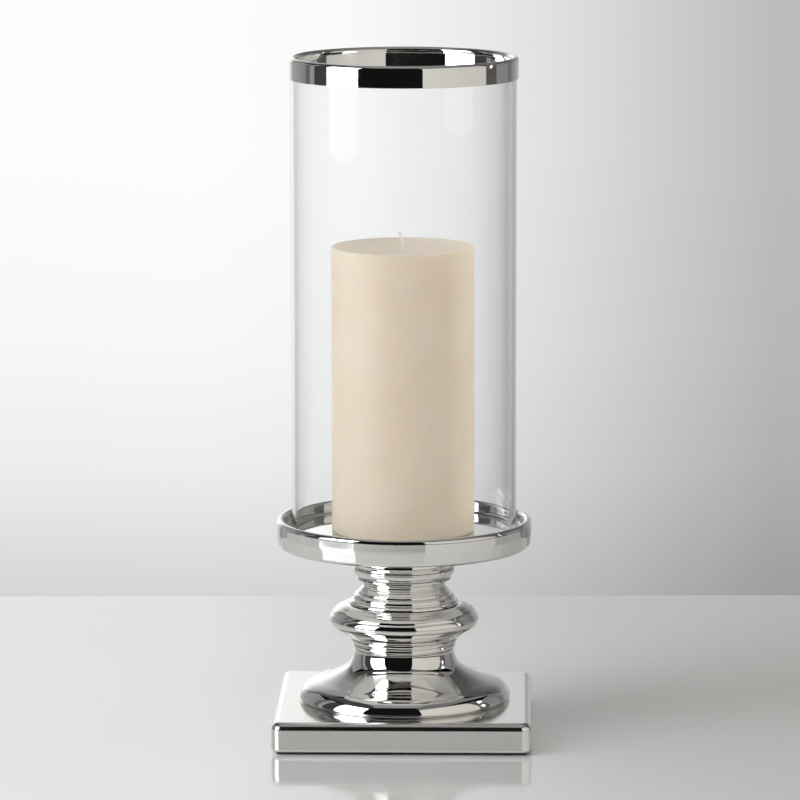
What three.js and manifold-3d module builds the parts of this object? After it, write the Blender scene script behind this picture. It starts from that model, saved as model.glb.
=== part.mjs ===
// Hurricane candle lantern: a turned metal pedestal that carries a glass chimney and a pillar candle.
// Millimetres, +Z up, origin at the middle of the felt's underside.
// The pedestal is a stack of cast and turned sections drawn together by one tie rod. Each section
// centres on the one below it with a spigot. The chimney and the candle only stand in the tray.

import * as THREE from 'three';
import { mergeVertices } from 'three/addons/utils/BufferGeometryUtils.js';
import Module from 'manifold-3d';

// Driving dimensions

const GAP = 0.3; // clearance between neighbouring pieces
const STEM_SEGMENTS = 28; // facets round the sections of the stem
const TRAY_SEGMENTS = 36; // facets round the tray and what stands in it
const SMALL_SEGMENTS = 16; // facets round the fasteners
const ARC_STEPS = 3; // chords in one bead, cove or fillet

const FELT = { side: 131, corner: 3, thickness: 1.2 };
const PLINTH = { side: 137.2, corner: 6, top: 17, crownFillet: 4, footFillet: 1.5, wall: 3, plate: 2.6 };
const WASHER = { radius: 14, thickness: 1.2 };
const LOCK_WASHER = { radius: 5.4, thickness: 0.8, slit: 1 };
const NUT = { acrossFlats: 10, height: 3.2 };
const ROD = { radius: 3, foot: 4.6, top: 96, chamfer: 0.5 };
const BORE_RADIUS = ROD.radius + 0.4; // the sections slip over the rod
const SPIGOT = { radius: 9, height: 3 };
const BOSS_RADIUS = 13; // the core that carries the bore through a hollow section

const BELL = { lipRadius: 57, top: 44.4, waist: 26.7, wall: 3 };
const LOWER_COLLAR = { radius: 28.7, top: 50.1 };
const KNOP = { radius: 40.1, top: 68.8, shelfInner: 29.8, wall: 3 };
const NECK = { radius: 21.7, top: 83.5 };
const TOP_COLLAR = { radius: 27, top: 88.3 };

const TRAY = { radius: 68.3, wallInner: 64.5, foot: 100.2, floor: 108.5, rim: 115, plate: 3.2, hub: 13.5 };
const BOWL = { wall: 2.2, flange: 2.2 };
const SCREW = { radius: 2.5, headRadius: 5, sink: 0.3, length: 11 };

const GLASS = { radius: 60, wall: 2, top: 360.9, edge: 0.6 };
const BAND = { radius: 61, thickness: 0.7, skirt: 11.5, lip: 3.2, top: 362.4, round: 2 };

const CANDLE = { radius: 38.1, height: 152.7, edge: 1, dish: 0.5, foot: 0.8, offset: -0.4 };
const WICK = { radius: 1, rise: 8, lean: 2.6, sides: 4, steps: 30 };
const CLIP = { radius: 8, thickness: 0.8, neckRadius: 2.4, neckHeight: 4 };

// Levels that follow from them

const STANDING = TRAY.floor + GAP; // the chimney and the candle stand here
const PLINTH_FOOT = FELT.thickness + GAP;
const PLATE_FOOT = PLINTH.top - PLINTH.plate;
const WASHER_TOP = PLATE_FOOT - GAP;
const LOCK_WASHER_TOP = WASHER_TOP - WASHER.thickness - GAP;
const NUT_TOP = LOCK_WASHER_TOP - LOCK_WASHER.thickness - GAP;
const BOWL_FOOT = TOP_COLLAR.top + GAP;
const DISH_FOOT = TRAY.floor - TRAY.plate;
const HUB_TOP = DISH_FOOT - GAP;
const CANDLE_TOP = STANDING + CANDLE.height;
const CLIP_FOOT = STANDING + GAP;
const SCREW_BORE = SCREW.radius + GAP;
const WICK_BORE = WICK.radius + GAP;

const wasm = await Module();
wasm.setup();

// Materials

function plated() {
  return new THREE.MeshStandardMaterial({ color: 0xd3d3d0, roughness: 0.06, metalness: 1 });
}

function steel() {
  return new THREE.MeshStandardMaterial({ color: 0xa9abad, roughness: 0.4, metalness: 1 });
}

function felt() {
  return new THREE.MeshStandardMaterial({ color: 0x26262a, roughness: 0.95, metalness: 0 });
}

function clearGlass() {
  const look = { color: 0xf2f6f5, roughness: 0.03, metalness: 0, transparent: true, opacity: 0.25 };
  return new THREE.MeshStandardMaterial(look);
}

function wax() {
  return new THREE.MeshStandardMaterial({ color: 0xe9dcc6, roughness: 0.5, metalness: 0 });
}

function cotton() {
  return new THREE.MeshStandardMaterial({ color: 0xf3ecdd, roughness: 0.9, metalness: 0 });
}

// Outlines
// An outline is a list of stations, [radius, height, bulge], with the material on its left. The bulge
// is how far the stretch to the next station bows out of its chord, and is negative for a cove.

function stretch([r0, z0, bulge = 0], [r1, z1]) {
  const start = new THREE.Vector2(r0, z0);
  if (bulge === 0) return [start];
  const chord = new THREE.Vector2(r1 - r0, z1 - z0);
  const half = chord.length() / 2;
  const unit = chord.divideScalar(2 * half);
  const outward = new THREE.Vector2(unit.y, -unit.x).multiplyScalar(Math.sign(bulge));
  const rise = Math.abs(bulge);
  const radius = (half * half + rise * rise) / (2 * rise);
  const halfAngle = Math.asin(half / radius);
  const points = [start];
  for (let i = 1; i < ARC_STEPS; i += 1) {
    const angle = halfAngle * (2 * i / ARC_STEPS - 1);
    const along = half + radius * Math.sin(angle);
    const out = radius * Math.cos(angle) - radius + rise;
    points.push(start.clone().addScaledVector(unit, along).addScaledVector(outward, out));
  }
  return points;
}

function bare(geometry) {
  geometry.deleteAttribute('normal');
  geometry.deleteAttribute('uv');
  return mergeVertices(geometry, 1e-4);
}

// Turns an outline round the axis. An outline that leaves the axis also ends on it; any other closes.
function turned(stations, segments) {
  const onAxis = stations[0][0] === 0;
  const loop = onAxis ? stations : [...stations, stations[0]];
  const points = loop.slice(0, -1).flatMap((station, i) => stretch(station, loop[i + 1]));
  points.push(new THREE.Vector2(loop.at(-1)[0], loop.at(-1)[1]));
  const geometry = new THREE.LatheGeometry(points, segments);
  geometry.rotateX(Math.PI / 2);
  return bare(geometry);
}

// Joins and cuts

function solid(geometry) {
  const closed = bare(geometry.clone());
  const vertProperties = new Float32Array(closed.attributes.position.array);
  const triVerts = new Uint32Array(closed.index.array);
  return new wasm.Manifold(new wasm.Mesh({ numProp: 3, vertProperties, triVerts }));
}

function surface(shape) {
  const mesh = shape.getMesh();
  const geometry = new THREE.BufferGeometry();
  geometry.setAttribute('position', new THREE.BufferAttribute(new Float32Array(mesh.vertProperties), 3));
  geometry.setIndex([...mesh.triVerts]);
  return geometry;
}

function roundedSquare(side, corner) {
  const half = side / 2;
  const inner = half - corner;
  const shape = new THREE.Shape();
  const corners = [[inner, -inner], [inner, inner], [-inner, inner], [-inner, -inner]];
  corners.forEach(([x, y], i) => {
    const from = (i - 1) * Math.PI / 2;
    shape.absarc(x, y, corner, from, from + Math.PI / 2);
  });
  return shape;
}

// A square slab between two heights, with its upper and lower edges rounded if a fillet is given.
function slab(side, corner, low, high, fillet = 0) {
  const geometry = new THREE.ExtrudeGeometry(roundedSquare(side - 2 * fillet, corner - fillet), {
    depth: high - low - 2 * fillet,
    curveSegments: ARC_STEPS,
    bevelEnabled: fillet > 0,
    bevelThickness: fillet,
    bevelSize: fillet,
    bevelSegments: ARC_STEPS,
  });
  geometry.translate(0, 0, low + fillet);
  return geometry;
}

function post(radius, low, high) {
  const geometry = new THREE.CylinderGeometry(radius, radius, high - low, SMALL_SEGMENTS);
  geometry.rotateX(Math.PI / 2);
  geometry.translate(0, 0, (low + high) / 2);
  return geometry;
}

// Base

function feltGeometry() {
  return bare(slab(FELT.side, FELT.corner, 0, FELT.thickness));
}

// The crown fillet is larger than the foot fillet, so the block is where two rounded slabs meet.
function plinthGeometry() {
  const beyond = 3 * PLINTH.crownFillet;
  const crowned = slab(PLINTH.side, PLINTH.corner, PLINTH_FOOT - beyond, PLINTH.top, PLINTH.crownFillet);
  const footed = slab(PLINTH.side, PLINTH.corner, PLINTH_FOOT, PLINTH.top + beyond, PLINTH.footFillet);
  const room = slab(PLINTH.side - 2 * PLINTH.wall, 2, PLINTH_FOOT - 1, PLATE_FOOT);
  const bore = post(BORE_RADIUS, PLINTH_FOOT, PLINTH.top + 1);
  return surface(solid(crowned).intersect(solid(footed)).subtract(solid(room)).subtract(solid(bore)));
}

function washerGeometry(outer, top, thickness) {
  const low = top - thickness;
  const stations = [[BORE_RADIUS, low], [outer, low], [outer, top], [BORE_RADIUS, top]];
  return turned(stations, SMALL_SEGMENTS);
}

// A split washer: one slit lets it spring under the nut.
function lockWasherGeometry() {
  const ring = washerGeometry(LOCK_WASHER.radius, LOCK_WASHER_TOP, LOCK_WASHER.thickness);
  const slit = new THREE.BoxGeometry(2 * LOCK_WASHER.radius, LOCK_WASHER.slit, 4 * LOCK_WASHER.thickness);
  slit.translate(LOCK_WASHER.radius, 0, LOCK_WASHER_TOP);
  return surface(solid(ring).subtract(solid(slit)));
}

function nutGeometry() {
  const corner = NUT.acrossFlats / Math.sqrt(3);
  const hexagon = new THREE.CylinderGeometry(corner, corner, NUT.height, 6);
  hexagon.rotateX(Math.PI / 2);
  hexagon.translate(0, 0, NUT_TOP - NUT.height / 2);
  const bore = post(ROD.radius + GAP, 0, PLINTH.top);
  return surface(solid(hexagon).subtract(solid(bore)));
}

function rodGeometry() {
  const stations = [
    [0, ROD.foot],
    [ROD.radius - ROD.chamfer, ROD.foot],
    [ROD.radius, ROD.foot + ROD.chamfer],
    [ROD.radius, ROD.top - ROD.chamfer],
    [ROD.radius - ROD.chamfer, ROD.top],
    [0, ROD.top],
  ];
  return turned(stations, SMALL_SEGMENTS);
}

// Turned sections of the stem
// Each takes the spigot below in a recess, and ends in a spigot of its own, round the rod's bore.

function recess(foot) {
  const roof = foot + SPIGOT.height + GAP;
  return [[BORE_RADIUS, roof], [SPIGOT.radius + GAP, roof], [SPIGOT.radius + GAP, foot]];
}

function spigot(top) {
  const crest = top + SPIGOT.height;
  return [[SPIGOT.radius, top], [SPIGOT.radius, crest], [BORE_RADIUS, crest]];
}

// An ogee bell: a rolled lip, a full shoulder, and a slope that sweeps up into the waist. It is cast
// hollow round a boss that stands on the plinth.
function bellGeometry() {
  const foot = PLINTH.top + GAP;
  const room = [
    [BOSS_RADIUS, foot],
    [BOSS_RADIUS, BELL.top - BELL.wall],
    [BELL.waist - BELL.wall, BELL.top - BELL.wall],
    [30.2, 31.2],
    [47.4, 22],
    [52, foot],
  ];
  const outside = [
    [BELL.lipRadius - 1.6, foot, 0.4],
    [BELL.lipRadius, 18.8, 0.5],
    [54, 24.2, 0.35],
    [48.4, 26.8, -0.8],
    [32, 34, -0.9],
    [BELL.waist + 0.5, 41.3, -0.1],
    [BELL.waist, BELL.top],
  ];
  return turned([[BORE_RADIUS, foot], ...room, ...outside, ...spigot(BELL.top)], STEM_SEGMENTS);
}

function lowerCollarGeometry() {
  const foot = BELL.top + GAP;
  const beads = [
    [LOWER_COLLAR.radius - 1.8, foot, 0.6],
    [LOWER_COLLAR.radius - 1.5, foot + 2.7],
    [LOWER_COLLAR.radius - 1.2, foot + 2.8, 0.6],
    [LOWER_COLLAR.radius, LOWER_COLLAR.top],
  ];
  return turned([...recess(foot), ...beads, ...spigot(LOWER_COLLAR.top)], STEM_SEGMENTS);
}

// A wide knop with a full belly and two shallow steps in its shoulder. A cored room round the middle
// opens downwards.
function knopGeometry() {
  const foot = LOWER_COLLAR.top + GAP;
  const room = [
    [BOSS_RADIUS, foot],
    [BOSS_RADIUS, KNOP.top - KNOP.wall],
    [KNOP.shelfInner, KNOP.top - KNOP.wall - 0.8],
    [36, 62],
    [36, 59],
    [25, foot + 1.5],
    [25, foot],
  ];
  const outside = [
    [LOWER_COLLAR.radius + 0.3, foot, 0.1],
    [KNOP.radius - 1.7, 56.9, 1.5],
    [KNOP.radius - 1.2, 63.5],
    [KNOP.radius - 1.4, 63.6, 0.6],
    [KNOP.radius - 5.1, 67],
    [KNOP.radius - 5.3, 67.1, 0.4],
    [KNOP.shelfInner, KNOP.top],
  ];
  return turned([...recess(foot), ...room, ...outside, ...spigot(KNOP.top)], STEM_SEGMENTS);
}

// Three rings climb in steps to the neck, and a cove and a fillet open out again above it.
function neckGeometry() {
  const foot = KNOP.top + GAP;
  const rings = [
    [NECK.radius + 7.7, foot, 0.3],
    [NECK.radius + 6.3, foot + 1.9],
    [NECK.radius + 5.5, foot + 2, 0.5],
    [NECK.radius + 4.3, foot + 5.1],
    [NECK.radius + 3.2, foot + 5.3, 0.15],
    [NECK.radius + 2.6, foot + 6.9],
    [NECK.radius + 2.3, foot + 7, 0.1],
    [NECK.radius + 0.1, foot + 9.6, 0.1],
    [NECK.radius, foot + 11.1],
    [NECK.radius + 0.9, foot + 11.8, 0.3],
    [NECK.radius + 3.7, foot + 13.2, 0.1],
    [NECK.radius + 3.4, NECK.top],
  ];
  return turned([...recess(foot), ...rings, ...spigot(NECK.top)], STEM_SEGMENTS);
}

function topCollarGeometry() {
  const foot = NECK.top + GAP;
  const bead = [
    [TOP_COLLAR.radius - 1.7, foot, 0.6],
    [TOP_COLLAR.radius + 0.1, foot + 3.9, 0.1],
    [TOP_COLLAR.radius, TOP_COLLAR.top],
  ];
  return turned([...recess(foot), ...bead, ...spigot(TOP_COLLAR.top)], STEM_SEGMENTS);
}

// Tray

// The bowl is a shallow cone with a ringed root and a hub. The rod screws into the hub from below and
// the tray screw from above, and a flange round the cone's edge holds up the dish.
function bowlGeometry() {
  const edge = TRAY.wallInner + 0.4;
  const flangeInner = edge - BOWL.flange;
  const root = [
    [TOP_COLLAR.radius, BOWL_FOOT, 0.1],
    [TOP_COLLAR.radius - 0.4, BOWL_FOOT + 1.1],
    [TOP_COLLAR.radius + 0.4, BOWL_FOOT + 2.3, 0.1],
    [TOP_COLLAR.radius, BOWL_FOOT + 4.6],
  ];
  const flange = [
    [edge, TRAY.foot],
    [edge, HUB_TOP],
    [flangeInner, HUB_TOP],
    [flangeInner, TRAY.foot + BOWL.wall - 0.4],
  ];
  const hub = [[TRAY.hub + 3, BOWL_FOOT + 6], [TRAY.hub, BOWL_FOOT + 8], [TRAY.hub, HUB_TOP]];
  const bores = [[SCREW_BORE, HUB_TOP], [SCREW_BORE, ROD.top + 0.5], [BORE_RADIUS, ROD.top + 0.5]];
  return turned([...recess(BOWL_FOOT), ...root, ...flange, ...hub, ...bores], TRAY_SEGMENTS);
}

// The dish is a flat floor in an upright wall. The wall runs down past the floor to hide the flange.
function dishGeometry() {
  const skirtInner = TRAY.wallInner + 0.4 + GAP;
  const sinkDepth = SCREW.headRadius - SCREW.radius;
  const stations = [
    [SCREW_BORE, DISH_FOOT],
    [skirtInner, DISH_FOOT],
    [skirtInner, TRAY.foot, 0.1],
    [skirtInner + 0.5, TRAY.foot, 0.6],
    [TRAY.radius - 0.7, TRAY.foot + 2.6],
    [TRAY.radius, TRAY.floor - 0.5],
    [TRAY.radius, TRAY.rim - 1.7, 0.5],
    [TRAY.radius - 1.5, TRAY.rim],
    [TRAY.wallInner + 1.4, TRAY.rim, 0.4],
    [TRAY.wallInner, TRAY.rim - 1.4],
    [TRAY.wallInner, TRAY.floor + 1.1, -0.3],
    [TRAY.wallInner - 1.1, TRAY.floor],
    [SCREW.headRadius + GAP, TRAY.floor],
    [SCREW_BORE, TRAY.floor - sinkDepth - GAP],
  ];
  return turned(stations, TRAY_SEGMENTS);
}

// A countersunk screw with a straight slot, a little below the floor so that the candle stands flat.
function screwGeometry() {
  const top = TRAY.floor - SCREW.sink;
  const sinkDepth = SCREW.headRadius - SCREW.radius;
  const stations = [
    [0, top - SCREW.length],
    [SCREW.radius - 0.4, top - SCREW.length],
    [SCREW.radius, top - SCREW.length + 0.4],
    [SCREW.radius, top - sinkDepth],
    [SCREW.headRadius - GAP, top],
    [0, top],
  ];
  const slot = new THREE.BoxGeometry(3 * SCREW.headRadius, 1.2, 2.4);
  slot.translate(0, 0, top);
  return surface(solid(turned(stations, SMALL_SEGMENTS)).subtract(solid(slot)));
}

// Chimney

function glassGeometry() {
  const inner = GLASS.radius - GLASS.wall;
  const { edge } = GLASS;
  const stations = [
    [inner + edge, STANDING],
    [GLASS.radius - edge, STANDING],
    [GLASS.radius, STANDING + edge],
    [GLASS.radius, GLASS.top - edge],
    [GLASS.radius - edge, GLASS.top],
    [inner + edge, GLASS.top],
    [inner, GLASS.top - edge],
    [inner, STANDING + edge],
  ];
  return turned(stations, TRAY_SEGMENTS);
}

// The band is rolled over the glass's upper edge: a tall skirt outside and a short lip inside.
function bandGeometry() {
  const outerFace = GLASS.radius + GAP;
  const lipOuter = GLASS.radius - GLASS.wall - GAP;
  const lipInner = lipOuter - BAND.thickness;
  const underRoof = GLASS.top + GAP;
  const quarter = BAND.round * (1 - Math.SQRT1_2);
  const stations = [
    [outerFace, BAND.top - BAND.skirt],
    [BAND.radius, BAND.top - BAND.skirt],
    [BAND.radius, BAND.top - BAND.round, quarter],
    [BAND.radius - BAND.round, BAND.top],
    [lipInner + BAND.round, BAND.top, quarter],
    [lipInner, BAND.top - BAND.round],
    [lipInner, BAND.top - BAND.lip],
    [lipOuter, BAND.top - BAND.lip],
    [lipOuter, underRoof - GLASS.edge],
    [lipOuter + GLASS.edge, underRoof],
    [outerFace - GLASS.edge, underRoof],
    [outerFace, underRoof - GLASS.edge],
  ];
  return turned(stations, TRAY_SEGMENTS);
}

// Candle

function candleGeometry() {
  const pocketRoof = CLIP_FOOT + CLIP.thickness + GAP;
  const neckRoof = pocketRoof + CLIP.neckHeight;
  const stations = [
    [CLIP.radius + GAP, STANDING],
    [CANDLE.radius - CANDLE.foot, STANDING],
    [CANDLE.radius, STANDING + CANDLE.foot],
    [CANDLE.radius, CANDLE_TOP - CANDLE.edge, 0.3],
    [CANDLE.radius - CANDLE.edge, CANDLE_TOP],
    [CANDLE.radius - 3 * CANDLE.edge, CANDLE_TOP - 0.1, -0.2],
    [WICK_BORE, CANDLE_TOP - CANDLE.dish],
    [WICK_BORE, neckRoof],
    [CLIP.neckRadius + GAP, neckRoof],
    [CLIP.neckRadius + GAP, pocketRoof],
    [CLIP.radius + GAP, pocketRoof],
  ];
  return turned(stations, TRAY_SEGMENTS);
}

function wickGeometry() {
  const foot = CLIP_FOOT + CLIP.thickness + 2 * GAP;
  const tip = CANDLE_TOP + WICK.rise;
  const path = new THREE.CatmullRomCurve3([
    new THREE.Vector3(0, 0, foot),
    new THREE.Vector3(0, 0, CANDLE_TOP - 2),
    new THREE.Vector3(0, 0, CANDLE_TOP + 1),
    new THREE.Vector3(-0.15 * WICK.lean, 0, CANDLE_TOP + 0.5 * WICK.rise),
    new THREE.Vector3(-WICK.lean, 0, tip - WICK.radius),
  ]);
  const section = new THREE.Shape();
  section.absarc(0, 0, WICK.radius, 0, 2 * Math.PI);
  const options = { steps: WICK.steps, curveSegments: WICK.sides, extrudePath: path, bevelEnabled: false };
  return bare(new THREE.ExtrudeGeometry(section, options));
}

function clipGeometry() {
  const plateTop = CLIP_FOOT + CLIP.thickness;
  const stations = [
    [0, CLIP_FOOT],
    [CLIP.radius, CLIP_FOOT],
    [CLIP.radius, plateTop],
    [CLIP.neckRadius, plateTop],
    [CLIP.neckRadius, plateTop + CLIP.neckHeight],
    [WICK_BORE, plateTop + CLIP.neckHeight],
    [WICK_BORE, plateTop + 0.1],
    [0, plateTop + 0.1],
  ];
  return turned(stations, SMALL_SEGMENTS);
}

// Assembly

function node(name, geometry, material) {
  const mesh = new THREE.Mesh(geometry, material);
  mesh.name = name;
  return mesh;
}

const pedestal = new THREE.Group();
pedestal.add(
  node('base_felt', feltGeometry(), felt()),
  node('plinth', plinthGeometry(), plated()),
  node('base_washer', washerGeometry(WASHER.radius, WASHER_TOP, WASHER.thickness), steel()),
  node('lock_washer', lockWasherGeometry(), steel()),
  node('hex_nut', nutGeometry(), steel()),
  node('tie_rod', rodGeometry(), steel()),
  node('bell_foot', bellGeometry(), plated()),
  node('lower_collar', lowerCollarGeometry(), plated()),
  node('knop', knopGeometry(), plated()),
  node('neck_rings', neckGeometry(), plated()),
  node('top_collar', topCollarGeometry(), plated()),
  node('tray_bowl', bowlGeometry(), plated()),
  node('tray_dish', dishGeometry(), plated()),
  node('tray_screw', screwGeometry(), steel()),
);

const chimney = new THREE.Group();
chimney.add(
  node('glass_chimney', glassGeometry(), clearGlass()),
  node('rim_band', bandGeometry(), plated()),
);

const candle = new THREE.Group();
candle.position.x = CANDLE.offset;
candle.add(
  node('candle', candleGeometry(), wax()),
  node('wick', wickGeometry(), cotton()),
  node('wick_clip', clipGeometry(), steel()),
);

const lantern = new THREE.Group();
lantern.add(pedestal, chimney, candle);

export default lantern;
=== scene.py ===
"""Hurricane candle lantern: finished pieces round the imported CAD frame, in metres, +Z up."""

import math

import bpy
import numpy as np
from mathutils import Matrix, Vector


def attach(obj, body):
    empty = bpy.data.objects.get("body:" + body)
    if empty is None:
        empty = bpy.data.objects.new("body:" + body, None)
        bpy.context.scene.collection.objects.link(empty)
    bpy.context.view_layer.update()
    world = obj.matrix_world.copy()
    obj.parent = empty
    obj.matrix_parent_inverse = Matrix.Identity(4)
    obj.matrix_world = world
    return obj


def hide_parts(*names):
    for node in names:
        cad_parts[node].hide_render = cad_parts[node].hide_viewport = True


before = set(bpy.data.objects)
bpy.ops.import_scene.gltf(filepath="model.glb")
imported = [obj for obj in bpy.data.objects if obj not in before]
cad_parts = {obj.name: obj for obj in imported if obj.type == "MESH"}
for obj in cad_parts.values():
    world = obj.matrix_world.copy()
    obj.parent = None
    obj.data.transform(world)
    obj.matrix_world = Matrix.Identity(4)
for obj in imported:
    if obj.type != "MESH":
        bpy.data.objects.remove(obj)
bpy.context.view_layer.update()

MM = 0.001
ROUND = 192  # facets round a turned piece
MAX_TURN = math.radians(4)  # turn between two rings of an arc
CORNER_STEPS = 4  # rings in one eased corner
SAME_PLACE = 1e-6  # millimetres: points nearer than this are one point


# Outlines
# An outline is a list of stations in millimetres: radius, height, bulge of the stretch to the next
# station (negative for a cove), and how far back from the station its corner is eased. Material is
# on the left.


def stretch(start, end, bulge):
    """A stretch's place and direction as a function of 0 to 1, then its length and its turn."""
    chord = end - start
    length = chord.length
    unit = chord / length
    outward = Vector((unit.y, -unit.x)) * math.copysign(1, bulge)
    if bulge == 0:
        return lambda t: (start + chord * t, unit), length, 0.0
    rise = abs(bulge)
    radius = (length * length / 4 + rise * rise) / (2 * rise)
    half_angle = math.asin(length / 2 / radius)

    def at(t):
        angle = half_angle * (2 * t - 1)
        along = length / 2 + radius * math.sin(angle)
        out = radius * math.cos(angle) - radius + rise
        run = unit * math.cos(angle) - outward * math.sin(angle)
        return start + unit * along + outward * out, run

    return at, 2 * half_angle * radius, 2 * half_angle


def normal(run):
    """The outward normal of an outline that runs this way."""
    return Vector((run.y, -run.x)).normalized()


def eased(corner, before, after):
    """Samples round a corner, between the end of one stretch and the start of the next."""
    (p0, n0), (p1, n1) = before, after
    samples = []
    for i in range(1, CORNER_STEPS):
        t = i / CORNER_STEPS
        point = p0 * (1 - t) ** 2 + corner * 2 * t * (1 - t) + p1 * t * t
        samples.append((point, (n0 * (1 - t) + n1 * t).normalized()))
    return samples


def outline(stations):
    """Samples, each a point and its outward normal, and whether the outline closes.

    An outline that leaves the axis also ends on it. Any other closes."""
    filled = [tuple(s) + (0,) * (4 - len(s)) for s in stations]
    points = [Vector(s[:2]) for s in filled]
    closed = points[0].x > 0
    count = len(points)
    legs = count if closed else count - 1
    runs = [stretch(points[i], points[(i + 1) % count], filled[i][2]) for i in range(legs)]
    samples = []
    for i, (at, length, turn) in enumerate(runs):
        ease_here = filled[i][3] / length
        ease_there = filled[(i + 1) % count][3] / length
        first, last = ease_here, 1 - ease_there
        steps = max(1, math.ceil(turn * (last - first) / MAX_TURN))
        for k in range(steps + 1):
            point, run = at(first + (last - first) * k / steps)
            samples.append((point, normal(run)))
        follows = (i + 1) % legs if closed else i + 1
        if ease_there > 0 and follows < legs:
            next_at, next_length, _ = runs[follows]
            point, run = next_at(filled[follows][3] / next_length)
            samples += eased(points[follows], samples[-1], (point, normal(run)))
    return samples, closed


# Meshes


def circle(radius):
    """Points round a circle, and their outward directions."""
    angles = np.arange(ROUND) * 2 * math.pi / ROUND
    directions = np.stack([np.cos(angles), np.sin(angles)], 1)
    return directions * radius, directions


def sweep(stations, ring=circle):
    """A mesh of the outline carried round the axis, with the outline's own normals."""
    samples, closed = outline(stations)
    rows, verts, index_of = [], [], []
    for point, _ in samples:
        if rows and (point - rows[-1][0]).length < SAME_PLACE:
            index_of.append(len(rows) - 1)
            continue
        index_of.append(len(rows))
        xy, directions = ring(point.x)
        if point.x < SAME_PLACE:
            xy = xy[:1] * 0
        rows.append((point, len(verts), len(xy)))
        verts += [(x * MM, y * MM, point.y * MM) for x, y in xy]
    if closed and (rows[-1][0] - rows[0][0]).length < SAME_PLACE:
        last = rows.pop()
        verts = verts[:last[1]]
        index_of = [i % len(rows) for i in index_of]
    pairs = list(zip(range(len(samples)), range(1, len(samples))))
    if closed:
        pairs.append((len(samples) - 1, 0))
    faces, normals = [], []
    for a, b in pairs:
        if index_of[a] == index_of[b]:
            continue
        low, high = rows[index_of[a]], rows[index_of[b]]
        add_band(low, high, samples[a][1], samples[b][1], ring, faces, normals)
    return build(verts, faces, normals)


def add_band(low, high, low_normal, high_normal, ring, faces, normals):
    """The faces between two rings, and the normals at their corners.

    A ring is its point of the outline, its first vertex and its vertex count, 1 on the axis."""
    low_point, a, low_count = low
    high_point, b, high_count = high
    _, directions = ring(max(low_point.x, high_point.x))
    at_low = [(x * low_normal.x, y * low_normal.x, low_normal.y) for x, y in directions]
    at_high = [(x * high_normal.x, y * high_normal.x, high_normal.y) for x, y in directions]
    count = len(directions)
    for j in range(count):
        k = (j + 1) % count
        if low_count == 1:
            faces.append((a, b + k, b + j))
            normals += [(0, 0, low_normal.y), at_high[k], at_high[j]]
        elif high_count == 1:
            faces.append((a + j, a + k, b))
            normals += [at_low[j], at_low[k], (0, 0, high_normal.y)]
        else:
            faces.append((a + j, a + k, b + k, b + j))
            normals += [at_low[j], at_low[k], at_high[k], at_high[j]]


def build(verts, faces, normals=None):
    """A smooth mesh, with its own corner normals where they are given."""
    mesh = bpy.data.meshes.new("mesh")
    mesh.from_pydata(verts, [], faces)
    mesh.polygons.foreach_set("use_smooth", [True] * len(faces))
    if normals:
        mesh.normals_split_custom_set(normals)
    mesh.update()
    return mesh


def piece(name, mesh, material, body, replaced):
    """Links a finished piece, sets it on the body it rides on, and hides the CAD node it stands for.
    """
    obj = bpy.data.objects.new(name, mesh)
    bpy.context.scene.collection.objects.link(obj)
    mesh.materials.append(material)
    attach(obj, body)
    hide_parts(replaced)
    return obj


# Materials


def material_with(name):
    """A new material's node tree and its Principled BSDF."""
    material = bpy.data.materials.new(name)
    material.use_nodes = True
    return material, material.node_tree, material.node_tree.nodes["Principled BSDF"]


def set_inputs(shader, **values):
    """Sets a shader's sockets by name."""
    for key, value in values.items():
        shader.inputs[key.replace("_", " ")].default_value = value


def noise(tree, scale, detail=3.0, stretch_by=(1, 1, 1), roughness=0.5):
    """Noise in the object's own space, optionally drawn out along an axis."""
    place = tree.nodes.new("ShaderNodeTexCoord")
    spread = tree.nodes.new("ShaderNodeMapping")
    spread.inputs["Scale"].default_value = stretch_by
    texture = tree.nodes.new("ShaderNodeTexNoise")
    texture.inputs["Scale"].default_value = scale
    texture.inputs["Detail"].default_value = detail
    texture.inputs["Roughness"].default_value = roughness
    tree.links.new(place.outputs["Object"], spread.inputs["Vector"])
    tree.links.new(spread.outputs["Vector"], texture.inputs["Vector"])
    return texture.outputs["Fac"]


def ranged(tree, value, low, high, start=0.35, end=0.65):
    """A value between low and high, as the input goes from start to end."""
    node = tree.nodes.new("ShaderNodeMapRange")
    node.inputs["From Min"].default_value = start
    node.inputs["From Max"].default_value = end
    node.inputs["To Min"].default_value = low
    node.inputs["To Max"].default_value = high
    tree.links.new(value, node.inputs["Value"])
    return node.outputs["Result"]


def blended(tree, factor, first, second):
    """A colour between two, by a factor."""
    node = tree.nodes.new("ShaderNodeMix")
    node.data_type = "RGBA"
    node.inputs["A"].default_value = (*first, 1)
    node.inputs["B"].default_value = (*second, 1)
    tree.links.new(factor, node.inputs["Factor"])
    return node.outputs["Result"]


def bumped(tree, shader, heights):
    """Bumps laid one over another: (height value, depth in metres, strength)."""
    previous = None
    for value, depth, strength in heights:
        node = tree.nodes.new("ShaderNodeBump")
        node.inputs["Distance"].default_value = depth
        node.inputs["Strength"].default_value = strength
        tree.links.new(value, node.inputs["Height"])
        if previous:
            tree.links.new(previous, node.inputs["Normal"])
        previous = node.outputs["Normal"]
    tree.links.new(previous, shader.inputs["Normal"])


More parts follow.
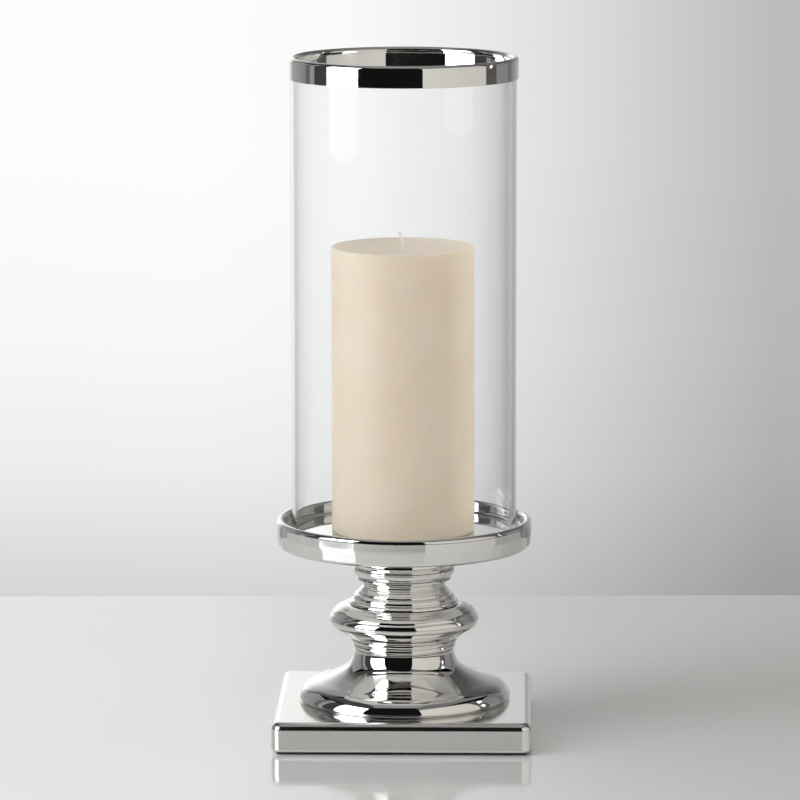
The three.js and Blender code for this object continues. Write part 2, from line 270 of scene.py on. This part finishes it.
def polished_metal(name, haze_low, haze_high):
    """Bright plated metal: a mirror with a trace of waviness and some polishing haze."""
    material, tree, shader = material_with(name)
    set_inputs(shader, Metallic=1.0)
    tint = ranged(tree, noise(tree, 18), 0, 1)
    colour = blended(tree, tint, (0.87, 0.86, 0.835), (0.90, 0.89, 0.87))
    tree.links.new(colour, shader.inputs["Base Color"])
    haze = ranged(tree, noise(tree, 240, 5), haze_low, haze_high)
    tree.links.new(haze, shader.inputs["Roughness"])
    waves, grain = noise(tree, 28, 1), noise(tree, 900, 2)
    bumped(tree, shader, [(waves, 0.00002, 1.0), (grain, 0.0000004, 1.0)])
    return material


def zinc_steel():
    """Zinc-plated steel fasteners, with a soft brushed grain."""
    material, tree, shader = material_with("zinc_steel")
    set_inputs(shader, Metallic=1.0)
    tint = ranged(tree, noise(tree, 300, 4), 0, 1)
    colour = blended(tree, tint, (0.42, 0.43, 0.44), (0.56, 0.57, 0.57))
    tree.links.new(colour, shader.inputs["Base Color"])
    grain = noise(tree, 700, 4, (1, 1, 6))
    tree.links.new(ranged(tree, grain, 0.26, 0.46), shader.inputs["Roughness"])
    bumped(tree, shader, [(grain, 0.00002, 0.5)])
    return material


def clear_glass():
    """Clear glass drawn into a tube: faint upright draw lines, hardly any tint."""
    material, tree, shader = material_with("clear_glass")
    set_inputs(
        shader,
        Base_Color=(0.985, 0.99, 0.988, 1),
        Transmission_Weight=1.0,
        IOR=1.27,
        Specular_Tint=(0.35, 0.35, 0.35, 1),
    )
    smear = ranged(tree, noise(tree, 60, 4, (1, 1, 0.15)), 0.0, 0.02)
    tree.links.new(smear, shader.inputs["Roughness"])
    bumped(tree, shader, [(noise(tree, 90, 2, (1, 1, 0.03)), 0.00003, 1.0)])
    return material


def ivory_wax():
    """Ivory candle wax: light goes a little way in, and the skin is mottled and dimpled."""
    material, tree, shader = material_with("ivory_wax")
    set_inputs(
        shader,
        Subsurface_Weight=0.6,
        Subsurface_Radius=(1.0, 0.6, 0.35),
        Subsurface_Scale=0.008,
        IOR=1.44,
    )
    mottle = ranged(tree, noise(tree, 45, 5), 0, 1)
    colour = blended(tree, mottle, (0.85, 0.72, 0.575), (0.88, 0.76, 0.62))
    tree.links.new(colour, shader.inputs["Base Color"])
    tree.links.new(ranged(tree, noise(tree, 120, 4), 0.30, 0.46), shader.inputs["Roughness"])
    swells, dimples = noise(tree, 35, 2), noise(tree, 320, 4)
    bumped(tree, shader, [(swells, 0.0002, 1.0), (dimples, 0.00002, 0.7)])
    return material


def cotton():
    """Bleached cotton yarn, with a fuzz of short fibres."""
    material, tree, shader = material_with("cotton")
    set_inputs(shader, Roughness=0.9, Sheen_Weight=0.4, Sheen_Roughness=0.5)
    fibre = noise(tree, 5000, 3, (1, 1, 0.3))
    colour = blended(tree, ranged(tree, fibre, 0, 1), (0.80, 0.78, 0.73), (0.93, 0.91, 0.87))
    tree.links.new(colour, shader.inputs["Base Color"])
    bumped(tree, shader, [(fibre, 0.0001, 0.8)])
    return material


def dark_felt():
    """Pressed black felt: matted fibres and a soft sheen."""
    material, tree, shader = material_with("dark_felt")
    set_inputs(shader, Roughness=0.95, Sheen_Weight=0.5, Sheen_Roughness=0.6)
    matted = noise(tree, 1400, 6, roughness=0.7)
    colour = blended(tree, ranged(tree, matted, 0, 1), (0.012, 0.012, 0.014), (0.045, 0.045, 0.05))
    tree.links.new(colour, shader.inputs["Base Color"])
    bumped(tree, shader, [(noise(tree, 160, 3), 0.0003, 0.6), (matted, 0.00015, 0.8)])
    return material


METAL = polished_metal("polished_metal", 0.025, 0.06)
CAST_METAL = polished_metal("polished_cast_metal", 0.11, 0.17)
STEEL = zinc_steel()
GLASS = clear_glass()
WAX = ivory_wax()
COTTON = cotton()
FELT = dark_felt()


# Turned pieces
# Radii and heights are the CAD's, with eased corners.

BORE = 3.4  # the sections slip over the tie rod
BOSS = 13  # the core that carries the bore through a hollow section
SPIGOT, SPIGOT_HEIGHT = 9, 3
RECESS, RECESS_HEIGHT = 9.3, 3.3
SCREW_BORE = 2.8


def recess(foot):
    """The hollow in a section's foot, which the spigot below goes into."""
    top = foot + RECESS_HEIGHT
    return [(BORE, top), (RECESS, top), (RECESS, foot)]


def spigot(foot):
    """The spigot on a section's top, which centres the section above."""
    top = foot + SPIGOT_HEIGHT
    return [(SPIGOT, foot), (SPIGOT, top, 0, 0.3), (BORE, top)]


STEM = {
    "bell_foot": [
        (BORE, 17.05), (BOSS, 17.05), (BOSS, 41.4, 0, 1), (23.7, 41.4, 0, 1), (30.2, 31.2, 0, 2),
        (47.4, 22, 0, 2), (52, 17.05), (55.4, 17.05, 0.4, 0.2), (57, 18.8, 0.5, 0.3),
        (54, 24.2, 0.35, 0.8), (48.4, 26.8, -0.8, 2), (32, 34, -0.9, 2), (27.2, 41.3, -0.1, 1),
        (26.7, 44.4, 0, 0.15), *spigot(44.4),
    ],
    "lower_collar": [
        *recess(44.7), (26.9, 44.7, 0.6, 0.15), (27.2, 47.4, 0, 0.05), (27.5, 47.5, 0.6, 0.05),
        (28.7, 50.1, 0, 0.15), *spigot(50.1),
    ],
    "knop": [
        *recess(50.4), (BOSS, 50.4), (BOSS, 65.8, 0, 1), (29.8, 65, 0, 1), (36, 62, 0, 1),
        (36, 59, 0, 1), (25, 51.9), (25, 50.4), (29, 50.4, 0.1, 0.15), (38.4, 56.9, 1.5, 0.8),
        (38.9, 63.5, 0, 0.05), (38.7, 63.6, 0.6, 0.05), (35, 67, 0, 0.05), (34.8, 67.1, 0.4, 0.05),
        (29.8, 68.8, 0, 0.15), *spigot(68.8),
    ],
    "neck_rings": [
        *recess(69.1), (29.4, 69.1, 0.3, 0.15), (28, 71, 0, 0.05), (27.2, 71.1, 0.5, 0.05),
        (26, 74.2, 0, 0.05), (24.9, 74.4, 0.15, 0.05), (24.3, 76, 0, 0.05), (24, 76.1, 0.1, 0.05),
        (21.8, 78.7, 0.1, 0.3), (21.7, 80.2, 0, 0.2), (22.6, 80.9, 0.3, 0.2),
        (25.4, 82.3, 0.1, 0.2), (25.1, 83.5, 0, 0.15), *spigot(83.5),
    ],
    "top_collar": [
        *recess(83.8), (25.3, 83.8, 0.6, 0.15), (27.1, 87.7, 0.1, 0.2), (27, 88.3, 0, 0.15),
        *spigot(88.3),
    ],
    "tray_bowl": [
        *recess(88.6), (27, 88.6, 0.1, 0.15), (26.6, 89.7, 0, 0.3), (27.4, 90.9, 0.1, 0.3),
        (27, 93.2, 0, 0.6), (64.9, 100.2, 0, 0.1), (64.9, 105, 0, 0.2), (62.7, 105, 0, 0.2),
        (62.7, 102, 0, 1), (16.5, 94.6, 0, 1), (13.5, 96.6, 0, 1), (13.5, 105),
        (SCREW_BORE, 105), (SCREW_BORE, 96.5), (BORE, 96.5),
    ],
    "tray_dish": [
        (SCREW_BORE, 105.3), (65.2, 105.3), (65.2, 100.2, 0.1, 0.1), (65.7, 100.2, 0.6, 0.1),
        (67.6, 102.8, 0, 0.5), (68.3, 108, 0, 1.2), (68.3, 112.8, 0.6, 0.4), (66.4, 115, 0, 0.3),
        (65.9, 115, 0.4, 0.3), (64.5, 113.6, 0, 0.3), (64.5, 109.6, -0.3, 0.1),
        (63.4, 108.5, 0, 0.1), (5.3, 108.5, 0, 0.2), (SCREW_BORE, 105.7),
    ],
}

for node_name, stations in STEM.items():
    piece(node_name + ".turned", sweep(stations), METAL, "pedestal", node_name)


# Plinth and felt

PLINTH_HALF, PLINTH_CORNER = 68.6, 6.0
INNER_CORNER = 1.0  # the least corner radius, in the hollow
PLINTH_OUTLINE = [
    (BORE, 14.4), (65.6, 14.4, 0, 0.8), (65.6, 1.5), (67.1, 1.5, 0.439, 0), (68.6, 3.0),
    (68.6, 13.0, 1.172, 0), (64.6, 17.0), (BORE, 17.0),
]
SIDE_STEPS, TURN_STEPS = 10, 14


def rounded_square(half):
    """Points round a square with rounded corners, and their outward directions.

    The bore has no straight sides, so it comes out round."""
    is_bore = half < 2 * BORE
    corner = half if is_bore else max(PLINTH_CORNER - (PLINTH_HALF - half), INNER_CORNER)
    points, directions = [], []
    for quarter in range(4):
        turn = quarter * math.pi / 2
        centre = Vector((half - corner, half - corner))
        centre.rotate(Matrix.Rotation(turn, 2))
        for i in range(TURN_STEPS + 1):
            angle = turn + i / TURN_STEPS * math.pi / 2
            direction = Vector((math.cos(angle), math.sin(angle)))
            points.append(centre + direction * corner)
            directions.append(direction)
        start, facing = points[-1], directions[-1]
        side = Vector((-facing.y, facing.x)) * 2 * (half - corner)
        for i in range(1, SIDE_STEPS):
            points.append(start + side * i / SIDE_STEPS)
            directions.append(facing)
    return np.array(points), np.array(directions)


plinth_mesh = sweep(PLINTH_OUTLINE, rounded_square)
piece("plinth.cast", plinth_mesh, CAST_METAL, "pedestal", "plinth")

FELT_HALF, FELT_TOP = 65.5, 1.45
FELT_CELLS, FELT_SEED = 60, 7
FELT_RIM = 0.5  # width of the frayed edge
FELT_FRAY, FELT_NAP = 0.25, 0.08  # how far the edge wanders, and how far the faces rise and fall


def felt_mesh():
    """A thin square sheet with matted faces and a frayed edge, both from a seeded draw."""
    cells = FELT_CELLS
    rng = np.random.default_rng(FELT_SEED)
    side = np.linspace(-FELT_HALF, FELT_HALF, cells + 1)
    verts, faces = [], []
    for level, inward in ((0.0, 1), (FELT_TOP, -1)):
        for y in side:
            for x in side:
                on_rim = max(abs(x), abs(y)) > FELT_HALF - FELT_RIM
                fray_x, fray_y = rng.uniform(-FELT_FRAY, 0.0, 2) if on_rim else (0, 0)
                rise = rng.uniform(0.0, FELT_NAP) * inward
                frayed_x = x + math.copysign(1, x) * fray_x
                frayed_y = y + math.copysign(1, y) * fray_y
                verts.append((frayed_x * MM, frayed_y * MM, (level + rise) * MM))
    width = cells + 1
    top = width * width
    for j in range(cells):
        for i in range(cells):
            a = j * width + i
            faces.append((a, a + width, a + width + 1, a + 1))
            faces.append((top + a, top + a + 1, top + a + width + 1, top + a + width))
    for i in range(cells):
        for a, b in (
            (i, i + 1),
            (cells * width + i + 1, cells * width + i),
            ((i + 1) * width, i * width),
            (i * width + cells, (i + 1) * width + cells),
        ):
            faces.append((a, b, top + b, top + a))
    return build(verts, faces)


felt = piece("felt.sheet", felt_mesh(), FELT, "pedestal", "base_felt")


# Fasteners inside

FASTENERS = {
    "tie_rod": [
        (0, 4.6), (2.5, 4.6), (3, 5.1), (3, 95.5), (2.5, 96), (0, 96),
    ],
    "base_washer": [
        (BORE, 12.9, 0, 0.1), (14, 12.9, 0, 0.3), (14, 14.1, 0, 0.3), (BORE, 14.1, 0, 0.1),
    ],
}
for node_name, stations in FASTENERS.items():
    piece(node_name + ".turned", sweep(stations), STEEL, "pedestal", node_name)


SCREW_TOP = 108.2
SCREW_OUTLINE = [
    (0, 97.2), (2.1, 97.2), (2.5, 97.6), (2.5, 105.7, 0, 0.1), (4.7, SCREW_TOP, 0, 0.15),
    (0, SCREW_TOP),
]
SLOT_HALF_LENGTH, SLOT_HALF_WIDTH, SLOT_DEPTH = 7.5, 0.6, 1.2


def slotted_screw():
    """A countersunk screw, its head slot cut from the smooth turning."""
    body = bpy.data.objects.new("screw_body", sweep(SCREW_OUTLINE))
    cutter_mesh = bpy.data.meshes.new("cutter")
    corners = [
        (x * SLOT_HALF_LENGTH * MM, y * SLOT_HALF_WIDTH * MM, (SCREW_TOP + z * SLOT_DEPTH) * MM)
        for x in (-1, 1) for y in (-1, 1) for z in (-1, 1)
    ]
    sides = [(0, 1, 3, 2), (4, 6, 7, 5), (0, 4, 5, 1), (2, 3, 7, 6), (0, 2, 6, 4), (1, 5, 7, 3)]
    cutter_mesh.from_pydata(corners, [], sides)
    cutter = bpy.data.objects.new("cutter", cutter_mesh)
    for obj in (body, cutter):
        bpy.context.scene.collection.objects.link(obj)
    cut = body.modifiers.new("slot", "BOOLEAN")
    cut.object = cutter
    cut.solver = "EXACT"
    shaped = body.evaluated_get(bpy.context.evaluated_depsgraph_get())
    mesh = bpy.data.meshes.new_from_object(shaped)
    for obj in (body, cutter):
        bpy.data.objects.remove(obj)
    mesh.set_sharp_from_angle(angle=math.radians(35))
    return mesh


piece("tray_screw.slotted", slotted_screw(), STEEL, "pedestal", "tray_screw")
for node_name in ("hex_nut", "lock_washer"):
    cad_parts[node_name].data.materials.clear()
    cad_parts[node_name].data.materials.append(STEEL)


# Chimney

CHIMNEY_OUTLINE = [
    (58, 108.6, 0, 0.6), (60, 108.6, 0, 0.6), (60, 360.9, 0, 0.6), (58, 360.9, 0, 0.6),
]
BAND_OUTLINE = [
    (60.3, 350.9, 0, 0.1), (61, 350.9, 0, 0.25), (61, 360.4, 0.586), (59, 362.4, 0.586),
    (57, 360.4), (57, 359.2, 0, 0.2), (57.7, 359.2, 0, 0.2), (57.7, 360.6), (58.3, 361.2),
    (59.7, 361.2), (60.3, 360.6),
]
piece("chimney.glass", sweep(CHIMNEY_OUTLINE), GLASS, "chimney", "glass_chimney")
piece("rim_band.rolled", sweep(BAND_OUTLINE), METAL, "chimney", "rim_band")


# Candle

CANDLE_X = -0.4  # the candle stands a little left of the middle
CANDLE_OUTLINE = [
    (8.3, 108.6), (38.1, 108.6, 0, 1.0), (38.1, 260.5, 0.3, 0.1), (37.1, 261.5, 0, 0.1),
    (35.1, 261.4, -0.2, 0.5), (1.3, 261.0), (1.3, 114.2), (2.7, 114.2), (2.7, 110.2), (8.3, 110.2),
]
CLIP_OUTLINE = [
    (0, 109.1), (8, 109.1, 0, 0.15), (8, 109.9, 0, 0.15), (2.4, 109.9, 0, 0.4), (2.4, 113.9, 0, 0.1),
    (1.3, 113.9, 0, 0.1), (1.3, 110.0), (0, 110.0),
]


def on_candle_axis(mesh):
    """Moves a mesh from the lantern's axis to the candle's."""
    mesh.transform(Matrix.Translation((CANDLE_X * MM, 0, 0)))
    return mesh


candle_mesh = on_candle_axis(sweep(CANDLE_OUTLINE))
clip_mesh = on_candle_axis(sweep(CLIP_OUTLINE))
piece("candle.wax", candle_mesh, WAX, "candle", "candle")
piece("wick_clip.pressed", clip_mesh, STEEL, "candle", "wick_clip")

WICK_FOOT, WICK_BEND, WICK_TIP = 110.6, 262.0, 269.0
WICK_LEAN, WICK_CURL = 2.1, 1.6  # how far the tip leans, and how much of that is near the tip
WICK_SWELL = 0.25  # the untwisting upper half of the tip grows by this share
WICK_RINGS, STRAND_SIDES = 420, 8
STRANDS, STRAND_RADIUS, STRAND_OFFSET, WICK_PITCH = 3, 0.52, 0.46, 4.2


def strand_ring(z, strand):
    """One ring of a strand: its middle winds round the wick's, which leans over above the wax."""
    over = max(0.0, (z - WICK_BEND) / (WICK_TIP - WICK_BEND))
    phase = 2 * math.pi * ((z - WICK_FOOT) / WICK_PITCH + strand / STRANDS)
    middle_x = CANDLE_X - WICK_LEAN * over ** WICK_CURL + STRAND_OFFSET * math.cos(phase)
    middle_y = STRAND_OFFSET * math.sin(phase)
    radius = STRAND_RADIUS * (1 + WICK_SWELL * max(0.0, over - 0.5) / 0.5)
    angles = [2 * math.pi * k / STRAND_SIDES for k in range(STRAND_SIDES)]
    return [
        ((middle_x + radius * math.cos(a)) * MM, (middle_y + radius * math.sin(a)) * MM, z * MM)
        for a in angles
    ]


def wick_mesh():
    """Plied strands that run up the bore, with their rings closest together near the tip."""
    heights = WICK_FOOT + (WICK_TIP - WICK_FOOT) * np.linspace(0, 1, WICK_RINGS) ** 0.5
    sides = range(STRAND_SIDES)
    verts, faces = [], []
    for strand in range(STRANDS):
        foot = len(verts)
        for z in heights:
            verts += strand_ring(z, strand)
        for low in range(foot, len(verts) - STRAND_SIDES, STRAND_SIDES):
            for k in sides:
                a, b = low + k, low + (k + 1) % STRAND_SIDES
                faces.append((a, b, b + STRAND_SIDES, a + STRAND_SIDES))
        tip = len(verts) - STRAND_SIDES
        faces.append(tuple(foot + k for k in reversed(sides)))
        faces.append(tuple(tip + k for k in sides))
    return build(verts, faces)


piece("wick.plied", wick_mesh(), COTTON, "candle", "wick")


# Stage


def staged(name, verts, faces, material, hidden=True):
    """A floor, backdrop or card. A hidden one only lights and is mirrored."""
    mesh = bpy.data.meshes.new(name)
    mesh.from_pydata(verts, [], faces)
    mesh.materials.append(material)
    obj = bpy.data.objects.new(name, mesh)
    bpy.context.scene.collection.objects.link(obj)
    obj.visible_camera = not hidden
    return obj


def glow(name, colour):
    """A light-giving surface: its material, node tree, emission and output."""
    material = bpy.data.materials.new(name)
    material.use_nodes = True
    tree = material.node_tree
    tree.nodes.clear()
    emission = tree.nodes.new("ShaderNodeEmission")
    emission.inputs["Color"].default_value = (*colour, 1)
    output = tree.nodes.new("ShaderNodeOutputMaterial")
    tree.links.new(emission.outputs["Emission"], output.inputs["Surface"])
    return material, tree, emission, output


def below_half(tree, value):
    """One where a value is less than a half, and nought where it is not."""
    node = tree.nodes.new("ShaderNodeMath")
    node.operation = "LESS_THAN"
    node.inputs[1].default_value = 0.5
    tree.links.new(value, node.inputs[0])
    return node.outputs["Value"]


def product(tree, first, second):
    """One value times another."""
    node = tree.nodes.new("ShaderNodeMath")
    node.operation = "MULTIPLY"
    tree.links.new(first, node.inputs[0])
    tree.links.new(second, node.inputs[1])
    return node.outputs["Value"]


WHITE, IVORY, DAYLIGHT = (1.0, 1.0, 1.0), (1.0, 0.975, 0.91), (0.98, 1.03, 1.09)


def card_material(name, tint, inside):
    """A card's material.

    It glows by its corner values. It lights what stands inside the glass at another level, and it
    isn't seen straight through the glass."""
    material, tree, emission, output = glow(name, tint)
    level = tree.nodes.new("ShaderNodeAttribute")
    level.attribute_name = "glow"
    path = tree.nodes.new("ShaderNodeLightPath")
    through = path.outputs["Is Transmission Ray"]
    undiffused = below_half(tree, path.outputs["Diffuse Depth"])
    diffused = below_half(tree, undiffused)
    strength = tree.nodes.new("ShaderNodeMix")
    strength.inputs["B"].default_value = inside
    tree.links.new(level.outputs["Fac"], strength.inputs["A"])
    tree.links.new(product(tree, diffused, through), strength.inputs["Factor"])
    tree.links.new(strength.outputs["Result"], emission.inputs["Strength"])
    unmirrored = below_half(tree, path.outputs["Glossy Depth"])
    straight = product(tree, unmirrored, undiffused)
    clear = tree.nodes.new("ShaderNodeBsdfTransparent")
    mix = tree.nodes.new("ShaderNodeMixShader")
    tree.links.new(product(tree, straight, through), mix.inputs["Fac"])
    tree.links.new(emission.outputs["Emission"], mix.inputs[1])
    tree.links.new(clear.outputs["BSDF"], mix.inputs[2])
    tree.links.new(mix.outputs["Shader"], output.inputs["Surface"])
    return material


def around(azimuth, distance):
    """A point on the floor plan, by its bearing from the camera's side, in degrees to the right."""
    angle = math.radians(azimuth)
    return distance * math.sin(angle), -distance * math.cos(angle)


def lit_card(name, corners, inside, levels, tint):
    """A card with its glow at each corner, and how brightly it lights what stands in the glass."""
    obj = staged(name, corners, [(0, 1, 2, 3)], card_material(name, tint, inside))
    obj.data.attributes.new("glow", "FLOAT", "POINT").data.foreach_set("value", levels)


def card(name, azimuths, distance, heights, inside, levels, tint=WHITE):
    """An upright card between two bearings.

    Levels are its glow at its corners: low left, low right, high right, high left."""
    (x0, y0), (x1, y1) = (around(a, distance) for a in azimuths)
    low, high = heights
    corners = [(x0, y0, low), (x1, y1, low), (x1, y1, high), (x0, y0, high)]
    lit_card(name, corners, inside, levels if len(levels) == 4 else levels * 4, tint)


CARDS = [  # name, bearings, distance, heights, level inside the glass, levels at the corners, tint
    ("dark_studio", (-44, 20), 3.6, (-2.0, 6.4), 1.5, (0.006,)),
    ("softbox_left", (-79, -44), 1.5, (0.16, 1.35), 3.3, (4.5,), DAYLIGHT),
    ("left_gap", (-97, -79), 1.6, (-1.0, 1.4), 2.1, (0.05,)),
    ("left_stand", (-104, -97), 1.6, (-1.0, 1.4), 2.0, (0.30,)),
    ("left_edge", (-111, -104), 1.6, (-1.0, 1.4), 2.0, (0.13,)),
    ("left_wall", (-141, -111), 2.2, (-1.0, 1.5), 1.8, (0.42, 0.24, 0.20, 0.30)),
    ("bounce_right", (20, 90), 1.4, (0.05, 1.3), 0.62, (0.70, 0.60, 0.60, 0.70), IVORY),
    ("right_gap", (90, 106), 1.5, (-1.0, 1.4), 2.4, (0.09,), IVORY),
    ("right_wall", (106, 128), 2.2, (-1.0, 1.5), 5.8, (0.30, 0.27, 0.18, 0.18)),
    ("right_edge", (128, 141), 2.2, (-1.0, 1.5), 5.8, (0.15, 0.3, 0.2, 0.15)),
    ("high_left", (-141, -44), 2.0, (1.35, 3.0), 0.8, (0.06, 0.05, 0.05, 0.10)),
    ("high_right", (20, 141), 2.0, (1.3, 3.0), 0.7, (0.14, 0.20, 0.20, 0.14)),
]
for spec in CARDS:
    card(*spec)

OVERHEAD_HEIGHT, OVERHEAD_HALF = 3.0, 1.8
OVERHEAD_INSIDE, OVERHEAD_LEVEL = 0.35, 0.28
overhead_corners = [
    (x * OVERHEAD_HALF, y * OVERHEAD_HALF, OVERHEAD_HEIGHT)
    for x, y in ((-1, -1), (-1, 1), (1, 1), (1, -1))
]
lit_card("overhead", overhead_corners, OVERHEAD_INSIDE, (OVERHEAD_LEVEL,) * 4, WHITE)


# Backdrop

BACKDROP_Y, BACKDROP_HALF, BACKDROP_FOOT, BACKDROP_TOP = 3.2, 2.6, -2.0, 4.0
BACKDROP_STRENGTH = 1.5  # no part of the backdrop is brighter than this
VIEW_TOP = (0.16, 0.50)  # heights between which the shading in view gives way to that above it
FADE_HEIGHTS = (-0.60, 2.20)
IN_VIEW = [  # share of the width, brightness
    (0.0, 0.36), (0.10, 0.50), (0.22, 0.95), (0.44, 0.98), (0.475, 0.95), (0.495, 0.86),
    (0.52, 0.74), (0.545, 0.61), (0.57, 0.50), (0.68, 0.50), (0.86, 0.32), (1.0, 0.28),
]
ABOVE_VIEW = [
    (0.0, 0.36), (0.10, 0.50), (0.22, 1.20), (0.44, 1.20), (0.465, 0.97), (0.495, 0.80),
    (0.51, 0.66), (0.53, 0.54), (0.57, 0.42), (0.60, 0.36), (0.86, 0.32), (1.0, 0.28),
]
FADE = [  # share of the height, brightness
    (0.0, 0.64), (0.03, 0.735), (0.07, 0.87), (0.12, 0.95), (0.20, 1.0), (0.50, 1.0), (0.75, 0.45),
    (1.0, 0.25),
]


def ramp(tree, value, low, high, stops, brightest):
    """A shade along a value from low to high, by stops of share and brightness."""
    node = tree.nodes.new("ShaderNodeValToRGB")
    while len(node.color_ramp.elements) < len(stops):
        node.color_ramp.elements.new(0.5)
    for element, (position, brightness) in zip(node.color_ramp.elements, stops):
        shade = brightness / brightest
        element.position = position
        element.color = (shade, shade, shade, 1)
    tree.links.new(ranged(tree, value, 0, 1, low, high), node.inputs["Fac"])
    return node.outputs["Color"]


def backdrop_material():
    """A glowing sweep of paper with its light and shade painted in: painted brightest on the left,
    and painted darker towards the top and the foot. The table mirrors the part above the view.
    """
    material, tree, emission, _ = glow("backdrop", (1, 1, 1))
    emission.inputs["Strength"].default_value = BACKDROP_STRENGTH
    place = tree.nodes.new("ShaderNodeNewGeometry")
    split = tree.nodes.new("ShaderNodeSeparateXYZ")
    tree.links.new(place.outputs["Position"], split.inputs["Vector"])
    across, height = split.outputs["X"], split.outputs["Z"]
    width = (-BACKDROP_HALF, BACKDROP_HALF)
    joined = tree.nodes.new("ShaderNodeMix")
    joined.data_type = "RGBA"
    tree.links.new(ranged(tree, height, 0, 1, *VIEW_TOP), joined.inputs["Factor"])
    tree.links.new(ramp(tree, across, *width, IN_VIEW, BACKDROP_STRENGTH), joined.inputs["A"])
    tree.links.new(ramp(tree, across, *width, ABOVE_VIEW, BACKDROP_STRENGTH), joined.inputs["B"])
    shaded = tree.nodes.new("ShaderNodeMix")
    shaded.data_type = "RGBA"
    shaded.blend_type = "MULTIPLY"
    shaded.inputs["Factor"].default_value = 1.0
    tree.links.new(joined.outputs["Result"], shaded.inputs["A"])
    tree.links.new(ramp(tree, height, *FADE_HEIGHTS, FADE, 1.0), shaded.inputs["B"])
    tree.links.new(shaded.outputs["Result"], emission.inputs["Color"])
    return material


backdrop_corners = [
    (-BACKDROP_HALF, BACKDROP_Y, BACKDROP_FOOT),
    (BACKDROP_HALF, BACKDROP_Y, BACKDROP_FOOT),
    (BACKDROP_HALF, BACKDROP_Y, BACKDROP_TOP),
    (-BACKDROP_HALF, BACKDROP_Y, BACKDROP_TOP),
]
staged("backdrop", backdrop_corners, [(0, 1, 2, 3)], backdrop_material(), hidden=False)


# Table


def tabletop():
    """A glossy pale board."""
    material, tree, shader = material_with("tabletop")
    set_inputs(shader, IOR=1.41)
    tint = ranged(tree, noise(tree, 3), 0, 1)
    colour = blended(tree, tint, (0.745, 0.74, 0.725), (0.775, 0.77, 0.755))
    tree.links.new(colour, shader.inputs["Base Color"])
    tree.links.new(ranged(tree, noise(tree, 60, 3), 0.06, 0.09), shader.inputs["Roughness"])
    return material


TABLE_HALF, TABLE_FRONT, TABLE_THICK = 1.3, -0.85, 0.03
TABLE_BACK_LEFT, TABLE_BACK_RIGHT = 0.331, 0.399  # the back edge runs slightly askew to the camera
table_outline = [
    (-TABLE_HALF, TABLE_FRONT),
    (TABLE_HALF, TABLE_FRONT),
    (TABLE_HALF, TABLE_BACK_RIGHT),
    (-TABLE_HALF, TABLE_BACK_LEFT),
]
table_verts = [(x, y, z) for z in (-TABLE_THICK, 0.0) for x, y in table_outline]
table_faces = [
    (3, 2, 1, 0), (4, 5, 6, 7), (0, 1, 5, 4), (1, 2, 6, 5), (2, 3, 7, 6), (3, 0, 4, 7),
]
staged("floor", table_verts, table_faces, tabletop(), hidden=False)


# Lamps and surroundings

GLINT_DISTANCE, GLINT_SIZE, GLINT_POWER = 1.4, 0.012, 7.0
FILL_X, FILL_Y, FILL_HEIGHT, FILL_SIZE = 1.6, -0.3, 1.3, 2.8
FILL_COLOUR = (1.0, 0.99, 0.96)


def glint(name, azimuth, height):
    """A small bare lamp: it only shows as a glint in the metal."""
    lamp = bpy.data.lights.new(name, "POINT")
    lamp.energy = GLINT_POWER
    lamp.shadow_soft_size = GLINT_SIZE
    obj = bpy.data.objects.new(name, lamp)
    obj.location = (*around(azimuth, GLINT_DISTANCE), height)
    obj.visible_diffuse = False
    obj.visible_camera = False
    obj.visible_transmission = False
    bpy.context.scene.collection.objects.link(obj)


def fill(name, x, power):
    """A broad soft light from one side, which isn't mirrored in anything."""
    lamp = bpy.data.lights.new(name, "AREA")
    lamp.size = FILL_SIZE
    lamp.color = FILL_COLOUR
    lamp.energy = power
    obj = bpy.data.objects.new(name, lamp)
    obj.location = (x, FILL_Y, FILL_HEIGHT)
    obj.rotation_euler = obj.location.to_track_quat("Z", "Y").to_euler()
    obj.visible_glossy = False
    obj.visible_camera = False
    obj.visible_transmission = False
    bpy.context.scene.collection.objects.link(obj)


glint("glint_low", azimuth=97, height=0.35)
glint("glint_high", azimuth=103, height=0.90)
fill("fill_left", -FILL_X, power=62)
fill("fill_right", FILL_X, power=15)

ROOM_SHADE = (0.72, 0.72, 0.715, 1)  # only seen where a view looks past the table and the backdrop
world = bpy.data.worlds.new("pale_room")
bpy.context.scene.world = world
world.use_nodes = True
world.node_tree.nodes["Background"].inputs["Color"].default_value = ROOM_SHADE
world.cycles_visibility.diffuse = False
world.cycles_visibility.glossy = False


# Camera

CAMERA_AT = (0.0606, -2.6545, 0.5982)
HEADING, PITCH, ROLL = math.radians(1.351), math.radians(8.979), math.radians(-0.075)
LENS, SENSOR = 226.71, 36


def camera_axes():
    """The camera's right, up and backward directions."""
    forward = Vector((
        -math.sin(HEADING) * math.cos(PITCH),
        math.cos(HEADING) * math.cos(PITCH),
        -math.sin(PITCH),
    ))
    right = Vector((math.cos(HEADING), math.sin(HEADING), 0))
    up = right.cross(forward)
    rolled_right = right * math.cos(ROLL) + up * math.sin(ROLL)
    rolled_up = up * math.cos(ROLL) - right * math.sin(ROLL)
    return rolled_right, rolled_up, -forward


camera_data = bpy.data.cameras.new("camera")
camera_data.sensor_width = SENSOR
camera_data.lens = LENS
camera = bpy.data.objects.new("camera", camera_data)
camera.matrix_world = Matrix.Translation(CAMERA_AT) @ Matrix(camera_axes()).transposed().to_4x4()
bpy.context.scene.collection.objects.link(camera)
bpy.context.scene.camera = camera

scene = bpy.context.scene
scene.view_settings.view_transform = "Standard"
scene.cycles.max_bounces = 20
scene.cycles.glossy_bounces = 8
scene.cycles.transmission_bounces = 14
scene.cycles.use_denoising = True
